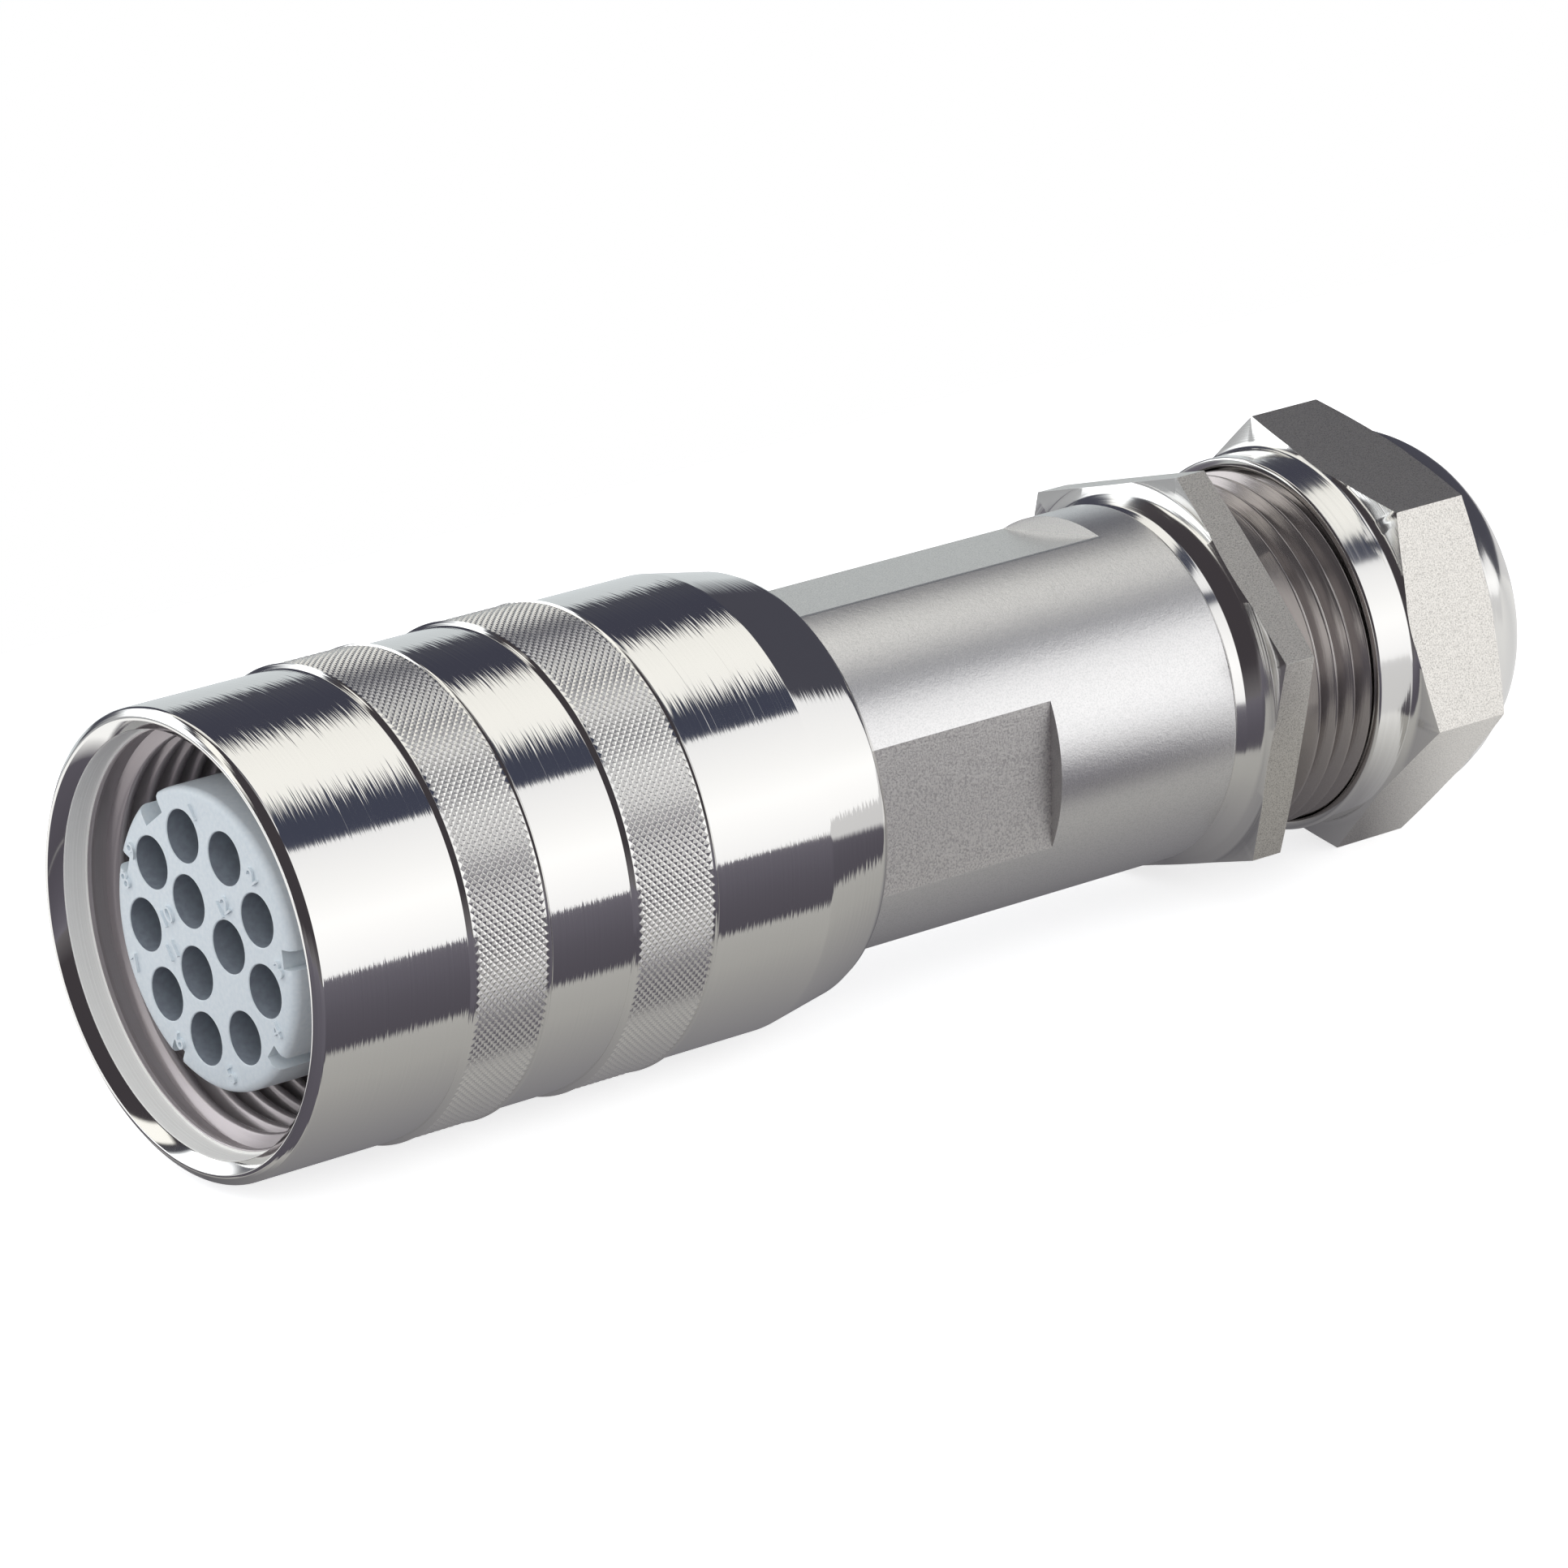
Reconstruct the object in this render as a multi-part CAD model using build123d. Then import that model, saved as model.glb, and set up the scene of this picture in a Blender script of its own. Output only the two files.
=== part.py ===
from build123d import *
from math import cos, radians, sin
import os

# Coupling socket: a twelve-way cable connector with a screw-on coupling ring,
# a long round barrel and a brass cable gland at its rear.
# Millimetres. The axis is X, the mating rim stands RIM_LEAD ahead of x = 0 and
# the cable leaves towards +X. Angles about the axis run clockwise from +Z, seen
# from the rim.

# Clearances
FIT = 0.05              # pieces that are pushed or screwed together for good
RUNNING = 0.06          # radial gap of pieces that turn on each other
SOFT_GAP = 0.05         # left on each side of a rubber ring in its groove
END_PLAY = 0.1          # axial gap on each side of the ring's shoulder

# Coupling ring
RING_LENGTH = 41.4
RIM_LEAD = 0.5          # its rim stands this far ahead of the origin
RIM_BEVEL = 0.5
RIM_BEVEL_LENGTH = 0.4
RIM_LAND = 0.2
RIM_WALL = 1.4          # ring outside its plain lip bore
LIP_DEPTH = 1.7
LIP_FLARE_LENGTH = 0.7
LIP_LEDGE = 0.2         # step at the foot of the lip, ahead of the thread
THREAD_DEPTH = 0.9      # crests of the coupling thread to the lip bore
COUPLING_LEAD_IN = 0.6
RELIEF_START = 11.3
RELIEF_WIDTH = 1.0
SHOULDER_START = 15.0
SHOULDER_LENGTH = 3.0
SHOULDER_RISE = 1.1     # how far it stands in from the thread's crests
POCKET_ROOM = 0.65      # hollow behind the shoulder, outside the clip
GRIP_RISE = 0.3         # knurled bands stand proud of the ring
GRIP_EDGE = 0.25
FRONT_GRIP_START = 9.9
FRONT_GRIP_LENGTH = 5.8
REAR_GRIP_START = 21.4
REAR_GRIP_LENGTH = 6.2
TAPER_LENGTH = 5.4
TAPER_DROP = 1.0
TAIL_ROUND = 1.1
TAIL_LAND = 3.2         # stretch of bore that runs on the barrel

# Contact insert
INSERT_MARGIN = 2.9     # edge of the keyed nose outside the contacts' circle
INSERT_RECESS = 1.4     # its face lies this far behind the origin
INSERT_EDGE = 0.5
INSERT_BODY_RISE = 0.2  # the body behind the nose is a little thicker
NOSE_LAND = 0.2         # thick body showing ahead of the face seal
INSERT_SEAT = 24.0      # where its collar meets the shell's step
COLLAR_LENGTH = 2.0
COLLAR_RISE = 0.35
REAR_HALF_LENGTH = 5.0
WIDE_KEYWAY = (325, 2.1, 1.35)
NARROW_KEYWAYS = [290, 205, 130, 84]
NARROW_KEYWAY_WIDTH = 1.15
NARROW_KEYWAY_DEPTH = 1.05

# Contacts
OUTER_COUNT = 9
ROW_SPACING = 3.65      # from the inner circle to the outer
OUTER_FIRST_ANGLE = -15
INNER_COUNT = 3
INNER_CIRCLE_R = 2.45
INNER_FIRST_ANGLE = -35
MOUTH_R = 1.6           # hole in the insert's face
MOUTH_DEPTH = 6.0
CONTACT_R = 1.35
CONTACT_RECESS = 4.2    # mouth of the contact behind the insert's face
CONTACT_LEAD_IN = 0.2
CONTACT_EDGE = 0.15
PIN_BORE_R = 0.8
PIN_BORE_DEPTH = 8.0
TINE_LENGTH = 6.5
TINE_SLOT = 0.25
CONTACT_FLANGE_R = 1.7
CONTACT_FLANGE_LENGTH = 1.0
SHANK_R = 1.25
CUP_BORE_R = 1.0
CUP_DEPTH = 3.4
CUP_LENGTH = 4.0        # solder cup behind the rear half of the insert
CUP_OPENING = 2.6

# Front shell
FLANGE_GAP = 0.25       # between the flange and the coupling thread
FLANGE_LENGTH = 2.4
CLIP_WIDTH = 1.0
CLIP_GROOVE_DEPTH = 0.65
CLIP_RISE = 0.95
CLIP_MOUTH = 5.0
CLIP_OPENING = 50
STOP_COLLAR = 1.1       # land between the clip and the barrel
STOP_RISE = 0.25        # face of that land that the barrel butts against
SHELL_WALL = 0.5        # around the insert's collar
SEAT_STEP = 0.25        # seat of the shell's O-ring outside its thread
SHELL_THREAD_LENGTH = 9.3
SHELL_RING_LAND = 0.3
SHELL_RING_GROOVE = 1.1
SHELL_RING_WIRE = 0.35
FACE_SEAL_THICKNESS = 1.2
FACE_SEAL_SETBACK = 0.05

# Barrel
BARREL_WALL = 1.1       # around the front shell's thread
BARREL_REAR = 69.7
SHELL_BORE_END = 0.4    # run-out behind the front shell
SLEEVE_LENGTH = 11.0
SLEEVE_WALL = 1.2
WIRE_BORE_STEP = 0.4    # inside the gland's stem
FLAT_DEPTH = 1.0
FLAT_START_GAP = 0.6     # they start just behind the ring
WRENCH_FLAT_LENGTH = 13.6
WRENCH_FLAT_ANGLE = 92
LONG_FLAT_LENGTH = 23.8
LONG_FLAT_ANGLE = -8.5
BARREL_EDGE = 0.3

# Cable gland
STEM_WALL = 2.0
STEM_LENGTH = 9.2
STEM_BORE_SPARE = 1.0   # barrel bored this much deeper than the stem
STEM_RING_WIRE = 0.55
STEM_RING_SEAT_WALL = 1.05
STEM_RING_SEAT_DEPTH = 1.5
NECK_DROP = 0.35        # neck inside the barrel's outline
NECK_LENGTH = 1.95
NECK_ROUND = 1.0
HEX_MARGIN = 0.1        # hexagon outside the flare of the neck
BODY_HEX_LENGTH = 2.45
BODY_HEX_ANGLE = 15
BODY_BEVEL_RISE = 0.2   # where the bevel starts, outside the flats
BODY_HEX_BEVEL_LENGTH = 0.2
THREAD_UNDERCUT_DEPTH = 0.7
THREAD_UNDERCUT_LENGTH = 0.9
GLAND_THREAD_DROP = 0.8  # crests inside the flats of the hexagon
THREAD_CHAMFER = 0.6
THREAD_PITCH = 1.41
CAGE_POCKET_DEPTH = 6.7
CAGE_POCKET_WALL = 1.95
CAGE_SEAT_SLOPE = 1.3
CAGE_WALL = 1.0
CAGE_BASE_LENGTH = 3.2
CAGE_TIP_GAP = 0.3      # left before the washer when the nut is tight
FINGER_COUNT = 10
FINGER_GAP = 1.1
FINGER_TIP = 0.6
SEAL_WALL = 2.65
SEAL_INSET = 1.0        # it ends this far short of the fingers' tips
SEAL_RIB = 0.5

# Dome nut
TURNS_TIGHTER = 1
TURNS_LOOSER = 3
THREAD_ENGAGED = 2.27   # thread still in the nut when it is loosest
NUT_STANDOFF = 6.4      # from the gland's hexagon to the skirt
NUT_BORE_SPARE = 0.5
SKIRT_WALL = 0.64
SKIRT_LENGTH = 2.9
SKIRT_EDGE = 0.35
NUT_HEX_LENGTH = 6.0
NUT_HEX_ANGLE = -15
HEX_BEVEL_RISE = 0.1    # where the bevel starts, outside the skirt
HEX_BEVEL_LENGTH = 0.6
HEX_TAIL_LENGTH = 0.6   # bevel of the corners, down to the flats
DOME_LENGTH = 4.15
DOME_END_LAND = 2.6
DOME_BULGE = 0.25
DOME_ROUND = 1.2
OUTLET_ROOM = 1.5       # around the thickest cable the seal takes
OUTLET_LENGTH = 2.2
WASHER_THICKNESS = 1.0
WASHER_SETBACK = 0.3    # its bore outside the outlet
WASHER_OVERLAP = 0.6    # its edge outside the cage

# Radii, worked out from the contacts outwards
outer_circle_r = INNER_CIRCLE_R + ROW_SPACING
insert_r = outer_circle_r + INSERT_MARGIN
insert_body_r = insert_r + INSERT_BODY_RISE
collar_r = insert_body_r + COLLAR_RISE
shell_thread_r = collar_r + FIT + SHELL_WALL
ring_seat_r = shell_thread_r + SEAT_STEP
ring_centre_r = ring_seat_r - SOFT_GAP - SHELL_RING_WIRE
ring_groove_r = ring_centre_r - SHELL_RING_WIRE - SOFT_GAP
journal_r = ring_seat_r + STOP_RISE
clip_r = journal_r + CLIP_RISE
pocket_r = clip_r + POCKET_ROOM
coupling_r = journal_r + SHOULDER_RISE
flange_r = coupling_r - FLANGE_GAP
lip_r = coupling_r + THREAD_DEPTH
ring_r = lip_r + RIM_WALL
barrel_r = shell_thread_r + FIT + BARREL_WALL
flat_distance = barrel_r - FLAT_DEPTH
stem_seat_r = barrel_r - STEM_RING_SEAT_WALL
stem_r = stem_seat_r - 2 * (STEM_RING_WIRE + SOFT_GAP)
wire_bore_r = stem_r - WIRE_BORE_STEP
gland_bore_r = stem_r - STEM_WALL
neck_r = barrel_r - NECK_DROP
hex_flat_r = neck_r + NECK_ROUND + HEX_MARGIN
hex_corner_r = hex_flat_r / cos(radians(30))
gland_thread_r = hex_flat_r - GLAND_THREAD_DROP
cage_r = gland_thread_r - CAGE_POCKET_WALL - FIT
cage_inner_r = cage_r - CAGE_WALL
seal_bore_r = cage_inner_r - FIT - SEAL_WALL
outlet_r = seal_bore_r + OUTLET_ROOM
skirt_r = gland_thread_r + RUNNING + SKIRT_WALL
washer_r = cage_r + WASHER_OVERLAP
dome_end_r = outlet_r + DOME_END_LAND

# Places along the axis
shoulder_end = SHOULDER_START + SHOULDER_LENGTH
flange_end = SHOULDER_START - END_PLAY
flange_start = flange_end - FLANGE_LENGTH
clip_start = shoulder_end + END_PLAY
clip_end = clip_start + CLIP_WIDTH
barrel_start = clip_end + FIT + STOP_COLLAR
shell_end = barrel_start + SHELL_THREAD_LENGTH
ring_groove_start = barrel_start + SHELL_RING_LAND
ring_groove_end = ring_groove_start + SHELL_RING_GROOVE
nose_end = flange_start - FACE_SEAL_THICKNESS - NOSE_LAND
collar_end = INSERT_SEAT + COLLAR_LENGTH
rear_half_end = collar_end + REAR_HALF_LENGTH
sleeve_end = rear_half_end + SLEEVE_LENGTH
hex_start = BARREL_REAR + NECK_LENGTH
hex_end = hex_start + BODY_HEX_LENGTH
nut_start = hex_end + NUT_STANDOFF
gland_end = nut_start + TURNS_LOOSER * THREAD_PITCH + THREAD_ENGAGED
pocket_start = gland_end - CAGE_POCKET_DEPTH
nut_hex_start = nut_start + SKIRT_LENGTH
nut_hex_end = nut_hex_start + NUT_HEX_LENGTH
nut_end = nut_hex_end + HEX_TAIL_LENGTH + DOME_LENGTH
outlet_start = nut_end - OUTLET_LENGTH
washer_start = outlet_start - FIT - WASHER_THICKNESS
tight_travel = TURNS_TIGHTER * THREAD_PITCH
nut_bore_end = gland_end + tight_travel + NUT_BORE_SPARE
cage_tip = washer_start - tight_travel - CAGE_TIP_GAP
flat_start = RING_LENGTH + FLAT_START_GAP


def turned(points):
    """A turned solid: (x, radius) points of its half section, spun about X."""
    return revolve(make_face(Polyline(*points, close=True)), Axis.X)


def tube(x0, x1, inner_r, outer_r):
    return turned([(x0, inner_r), (x1, inner_r), (x1, outer_r), (x0, outer_r)])


def rod(x0, x1, r, distance=0.0, angle=0.0):
    """A round bar along X, standing off the axis at an angle about it."""
    bar = Pos(X=(x0 + x1) / 2) * Rot(Y=90) * Cylinder(r, x1 - x0)
    return Rot(X=angle) * Pos(Z=distance) * bar


def ring_of_wire(x, centre_r, wire_r):
    """An O-ring around the axis."""
    section = Pos(x, centre_r) * Circle(wire_r)
    return revolve(section, Axis.X)


def hexagon_bar(x0, x1, corner_r, corner_angle):
    turns = [radians(corner_angle + 60 * k) for k in range(6)]
    corners = [(-corner_r * sin(a), corner_r * cos(a)) for a in turns]
    face = Plane.YZ.offset(x0) * make_face(Polyline(*corners, close=True))
    return extrude(face, x1 - x0)


def block(x0, x1, width, r0, r1, angle):
    """A box along X from radius r0 to r1, at an angle about the axis."""
    box = Pos((x0 + x1) / 2, 0, (r0 + r1) / 2) * Box(x1 - x0, width, r1 - r0)
    return Rot(X=angle) * box


def coupling_ring():
    """Screw ring with two grip bands; its shoulder turns on the front shell."""
    grip_r = ring_r + GRIP_RISE
    tail_r = ring_r - TAPER_DROP
    tail_bore = barrel_r + RUNNING
    outline = [
        (-RIM_LEAD, ring_r - RIM_BEVEL - RIM_LAND),
        (-RIM_LEAD, ring_r - RIM_BEVEL),
        (RIM_BEVEL_LENGTH - RIM_LEAD, ring_r),
    ]
    for start, length in ((FRONT_GRIP_START, FRONT_GRIP_LENGTH), (REAR_GRIP_START, REAR_GRIP_LENGTH)):
        end = start + length
        outline += [(start, ring_r), (start + GRIP_EDGE, grip_r), (end - GRIP_EDGE, grip_r), (end, ring_r)]
    outline += [
        (RING_LENGTH - TAPER_LENGTH, ring_r),
        (RING_LENGTH, tail_r),
        (RING_LENGTH, tail_bore),
        (RING_LENGTH - TAIL_LAND, tail_bore),
        (RING_LENGTH - TAIL_LAND - (pocket_r - tail_bore), pocket_r),
        (shoulder_end, pocket_r),
        (shoulder_end, journal_r + RUNNING),
        (SHOULDER_START, journal_r + RUNNING),
        (SHOULDER_START, coupling_r),
        (RELIEF_START + RELIEF_WIDTH, coupling_r),
        (RELIEF_START + RELIEF_WIDTH, lip_r),
        (RELIEF_START, lip_r),
        (RELIEF_START, coupling_r),
        (LIP_DEPTH + COUPLING_LEAD_IN, coupling_r),
        (LIP_DEPTH, lip_r - LIP_LEDGE),
        (LIP_DEPTH, lip_r),
        (LIP_FLARE_LENGTH - RIM_LEAD, lip_r),
    ]
    ring = turned(outline)
    rear_face = ring.faces().sort_by(Axis.X)[-1]
    rear_rim = rear_face.edges().sort_by(SortBy.RADIUS)[-1]
    return fillet(rear_rim, TAIL_ROUND)


def front_shell():
    """Holds the insert, carries the coupling ring and screws into the barrel."""
    clip_groove_r = journal_r - CLIP_GROOVE_DEPTH
    return turned([
        (flange_start, insert_body_r + FIT),
        (flange_start, flange_r),
        (flange_end, flange_r),
        (flange_end, journal_r),
        (clip_start, journal_r),
        (clip_start, clip_groove_r),
        (clip_end + FIT, clip_groove_r),
        (clip_end + FIT, journal_r),
        (barrel_start, journal_r),
        (barrel_start, shell_thread_r),
        (ring_groove_start, shell_thread_r),
        (ring_groove_start, ring_groove_r),
        (ring_groove_end, ring_groove_r),
        (ring_groove_end, shell_thread_r),
        (shell_end, shell_thread_r),
        (shell_end, collar_r + FIT),
        (INSERT_SEAT, collar_r + FIT),
        (INSERT_SEAT, insert_body_r + FIT),
    ])


def shell_o_ring():
    """Seals the front shell in the barrel's mouth."""
    return ring_of_wire((ring_groove_start + ring_groove_end) / 2, ring_centre_r, SHELL_RING_WIRE)


def retaining_clip():
    """Split ring in the shell's groove that keeps the coupling ring on."""
    inner_r = journal_r - CLIP_GROOVE_DEPTH + FIT
    clip = tube(clip_start + FIT / 2, clip_end, inner_r, clip_r)
    return clip - block(clip_start, clip_end + 1, CLIP_MOUTH, 0, ring_r, CLIP_OPENING)


def face_seal():
    """Flat rubber ring that the mating shell presses against the flange."""
    return tube(flange_start - FACE_SEAL_THICKNESS, flange_start, insert_body_r + FIT, flange_r - FACE_SEAL_SETBACK)


def contact_places():
    """Distance from the axis and angle of each contact, outer circle first."""
    outer = [(outer_circle_r, OUTER_FIRST_ANGLE + 360 / OUTER_COUNT * k) for k in range(OUTER_COUNT)]
    inner = [(INNER_CIRCLE_R, INNER_FIRST_ANGLE + 360 / INNER_COUNT * k) for k in range(INNER_COUNT)]
    return outer + inner


def insert_front():
    """Front half of the insulator: keyed nose, twelve mouths, rear collar."""
    body = turned([
        (INSERT_RECESS, 0),
        (INSERT_RECESS, insert_r),
        (nose_end, insert_r),
        (nose_end, insert_body_r),
        (INSERT_SEAT, insert_body_r),
        (INSERT_SEAT, collar_r),
        (collar_end, collar_r),
        (collar_end, 0),
    ])
    front_rim = body.faces().sort_by(Axis.X)[0].edges()
    body = fillet(front_rim, INSERT_EDGE)
    angle, width, depth = WIDE_KEYWAY
    reach = insert_r + 1
    cuts = [block(INSERT_RECESS - 1, nose_end, width, insert_r - depth, reach, angle)]
    for angle in NARROW_KEYWAYS:
        floor_r = insert_r - NARROW_KEYWAY_DEPTH
        cuts.append(block(INSERT_RECESS - 1, nose_end, NARROW_KEYWAY_WIDTH, floor_r, reach, angle))
    mouth_end = INSERT_RECESS + MOUTH_DEPTH
    pocket = collar_end - CONTACT_FLANGE_LENGTH
    for distance, angle in contact_places():
        cuts.append(rod(INSERT_RECESS - 1, mouth_end, MOUTH_R, distance, angle))
        cuts.append(rod(mouth_end - 1, pocket + 1, CONTACT_R + FIT, distance, angle))
        cuts.append(rod(pocket, collar_end + 1, CONTACT_FLANGE_R + FIT, distance, angle))
    return body - cuts


def insert_rear():
    """Rear half of the insulator, which locks the contacts' flanges."""
    body = rod(collar_end, rear_half_end, collar_r)
    cuts = [
        rod(collar_end - 1, rear_half_end + 1, SHANK_R + FIT, distance, angle)
        for distance, angle in contact_places()
    ]
    return body - cuts


def socket_contact(distance, angle):
    """Turned contact: four sprung tines in front, solder cup behind."""
    mouth = INSERT_RECESS + CONTACT_RECESS
    bore_end = mouth + PIN_BORE_DEPTH
    flange = collar_end - CONTACT_FLANGE_LENGTH + FIT
    rear = rear_half_end + CUP_LENGTH
    contact = turned([
        (mouth, PIN_BORE_R + CONTACT_LEAD_IN),
        (mouth, CONTACT_R - CONTACT_EDGE),
        (mouth + CONTACT_EDGE, CONTACT_R),
        (flange, CONTACT_R),
        (flange, CONTACT_FLANGE_R),
        (collar_end, CONTACT_FLANGE_R),
        (collar_end, SHANK_R),
        (rear, SHANK_R),
        (rear, CUP_BORE_R),
        (rear - CUP_DEPTH, CUP_BORE_R),
        (rear - CUP_DEPTH, 0),
        (bore_end, 0),
        (bore_end, PIN_BORE_R),
        (mouth + CONTACT_LEAD_IN, PIN_BORE_R),
    ])
    slot_end = mouth + TINE_LENGTH
    for turn in (0, 90):
        contact -= block(mouth - 1, slot_end, TINE_SLOT, -CONTACT_R - 1, CONTACT_R + 1, turn)
    contact -= block(rear - CUP_OPENING, rear + 1, 2 * CUP_BORE_R, 0, SHANK_R + 1, 0)
    return Rot(X=angle) * Pos(Z=distance) * contact


def spacer_sleeve():
    """Insulating tube between the insert and the barrel's inner shoulder."""
    return tube(rear_half_end, sleeve_end, collar_r - SLEEVE_WALL, collar_r)


def barrel():
    """Long round housing with wrench flats, threaded at both ends."""
    stem_bore_start = BARREL_REAR - STEM_LENGTH - STEM_BORE_SPARE
    body = turned([
        (barrel_start, ring_seat_r),
        (barrel_start, barrel_r - BARREL_EDGE),
        (barrel_start + BARREL_EDGE, barrel_r),
        (BARREL_REAR - BARREL_EDGE, barrel_r),
        (BARREL_REAR, barrel_r - BARREL_EDGE),
        (BARREL_REAR, stem_seat_r),
        (BARREL_REAR - STEM_RING_SEAT_DEPTH, stem_seat_r),
        (BARREL_REAR - STEM_RING_SEAT_DEPTH, stem_r + FIT),
        (stem_bore_start, stem_r + FIT),
        (stem_bore_start, wire_bore_r),
        (sleeve_end, wire_bore_r),
        (sleeve_end, collar_r + FIT),
        (shell_end + SHELL_BORE_END, collar_r + FIT),
        (shell_end + SHELL_BORE_END, shell_thread_r + FIT),
        (ring_groove_end, shell_thread_r + FIT),
        (ring_groove_end, ring_seat_r),
    ])
    reach = barrel_r + 1
    wrench_end = flat_start + WRENCH_FLAT_LENGTH
    long_end = flat_start + LONG_FLAT_LENGTH
    flats = [
        block(flat_start, wrench_end, 2 * reach, flat_distance, reach, WRENCH_FLAT_ANGLE),
        block(flat_start, wrench_end, 2 * reach, flat_distance, reach, WRENCH_FLAT_ANGLE + 180),
        block(flat_start, long_end, 2 * reach, flat_distance, reach, LONG_FLAT_ANGLE),
    ]
    return body - flats


def gland_o_ring():
    """Seals the gland in the barrel's rear end."""
    x = BARREL_REAR - STEM_RING_SEAT_DEPTH / 2
    return ring_of_wire(x, (stem_r + stem_seat_r) / 2, STEM_RING_WIRE)


def gland_body():
    """Double-ended gland: stem in the barrel, thin hexagon, thread for the nut."""
    cage_bore = cage_r + FIT
    thread_start = hex_end + THREAD_UNDERCUT_LENGTH
    undercut_r = gland_thread_r - THREAD_UNDERCUT_DEPTH
    root_start = (hex_start - NECK_ROUND, neck_r)
    root_end = (hex_start, neck_r + NECK_ROUND)
    sag = NECK_ROUND * (1 - cos(radians(45)))
    root_middle = (hex_start - sag, neck_r + sag)
    stem_line = Polyline(
        root_end,
        (hex_start, gland_bore_r),
        (BARREL_REAR - STEM_LENGTH, gland_bore_r),
        (BARREL_REAR - STEM_LENGTH, stem_r - THREAD_CHAMFER),
        (BARREL_REAR - STEM_LENGTH + THREAD_CHAMFER, stem_r),
        (BARREL_REAR, stem_r),
        (BARREL_REAR, neck_r),
        root_start,
    )
    root = ThreePointArc(root_start, root_middle, root_end)
    stem = revolve(make_face(stem_line + root), Axis.X)
    chamfered = turned([
        (hex_start, 0),
        (hex_start, hex_corner_r),
        (hex_end - BODY_HEX_BEVEL_LENGTH, hex_corner_r),
        (hex_end, hex_flat_r + BODY_BEVEL_RISE),
        (hex_end, 0),
    ])
    hexagon = hexagon_bar(hex_start, hex_end, hex_corner_r, BODY_HEX_ANGLE) & chamfered
    rear = turned([
        (hex_end, gland_bore_r),
        (hex_end, undercut_r),
        (thread_start, undercut_r),
        (thread_start + (gland_thread_r - undercut_r), gland_thread_r),
        (gland_end - THREAD_CHAMFER, gland_thread_r),
        (gland_end, gland_thread_r - THREAD_CHAMFER),
        (gland_end, cage_bore),
        (pocket_start, cage_bore),
        (pocket_start - CAGE_SEAT_SLOPE, gland_bore_r),
    ])
    return stem + (hexagon - rod(hex_start - 1, hex_end + 1, gland_bore_r)) + rear


def clamping_cage():
    """Ring of sprung fingers that the nut bends in around the seal."""
    base_end = pocket_start + CAGE_BASE_LENGTH
    cage = turned([
        (pocket_start, cage_inner_r),
        (pocket_start, cage_r),
        (cage_tip - 2 * FINGER_TIP, cage_r),
        (cage_tip, cage_r - FINGER_TIP),
        (cage_tip, cage_inner_r),
    ])
    slots = [
        block(base_end, cage_tip + 1, FINGER_GAP, 0, cage_r + 1, 360 / FINGER_COUNT * k)
        for k in range(FINGER_COUNT)
    ]
    return cage - slots


def gland_seal():
    """Rubber sleeve that the cage squeezes on to the cable."""
    outer_r = cage_inner_r - FIT
    seal_end = cage_tip - SEAL_INSET
    return turned([
        (pocket_start, seal_bore_r + SEAL_RIB),
        (pocket_start, outer_r),
        (seal_end, outer_r),
        (seal_end, seal_bore_r + SEAL_RIB),
        (seal_end - SEAL_RIB, seal_bore_r),
        (pocket_start + SEAL_RIB, seal_bore_r),
    ])


def thrust_washer():
    """Slip washer between the nut and the cage; it moves along but doesn't turn."""
    return tube(washer_start, washer_start + WASHER_THICKNESS, outlet_r + WASHER_SETBACK, washer_r)


def dome_nut():
    """Hexagonal cap nut with a round skirt and a domed end."""
    dome_start = nut_hex_end + HEX_TAIL_LENGTH
    middle = ((dome_start + nut_end) / 2 + DOME_BULGE, (hex_flat_r + dome_end_r) / 2 + DOME_BULGE)
    front = Polyline(
        (nut_end, dome_end_r),
        (nut_end, 0),
        (nut_hex_start, 0),
        (nut_hex_start, skirt_r + HEX_BEVEL_RISE),
        (nut_hex_start + HEX_BEVEL_LENGTH, hex_corner_r),
        (nut_hex_end, hex_corner_r),
        (dome_start, hex_flat_r),
    )
    dome = ThreePointArc((dome_start, hex_flat_r), middle, (nut_end, dome_end_r))
    head = revolve(make_face(front + dome), Axis.X)
    rear_rim = head.faces().sort_by(Axis.X)[-1].edges()
    head = fillet(rear_rim, DOME_ROUND)
    head &= hexagon_bar(nut_hex_start, nut_end, hex_corner_r, NUT_HEX_ANGLE)
    skirt = turned([
        (nut_start, 0),
        (nut_start, skirt_r - SKIRT_EDGE),
        (nut_start + SKIRT_EDGE, skirt_r),
        (nut_hex_start, skirt_r),
        (nut_hex_start, 0),
    ])
    hollow = turned([
        (nut_start - 1, 0),
        (nut_start - 1, gland_thread_r + RUNNING),
        (nut_bore_end, gland_thread_r + RUNNING),
        (nut_bore_end, washer_r + RUNNING),
        (outlet_start, washer_r + RUNNING),
        (outlet_start, outlet_r),
        (nut_end + 1, outlet_r),
        (nut_end + 1, 0),
    ])
    return head + skirt - hollow


parts = {
    "coupling_ring": coupling_ring(),
    "front_shell": front_shell(),
    "retaining_clip": retaining_clip(),
    "face_seal": face_seal(),
    "insert_front": insert_front(),
    "insert_rear": insert_rear(),
    "shell_o_ring": shell_o_ring(),
    "spacer_sleeve": spacer_sleeve(),
    "barrel": barrel(),
    "gland_o_ring": gland_o_ring(),
    "gland_body": gland_body(),
    "clamping_cage": clamping_cage(),
    "gland_seal": gland_seal(),
    "thrust_washer": thrust_washer(),
    "dome_nut": dome_nut(),
}
for number, (distance, angle) in enumerate(contact_places(), start=1):
    parts[f"socket_contact_{number:02d}"] = socket_contact(distance, angle)

os.makedirs("parts", exist_ok=True)
for name, solid in parts.items():
    export_step(solid, f"parts/{name}.step")
    print(f"{name}: {solid.volume:.1f} mm3")
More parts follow.
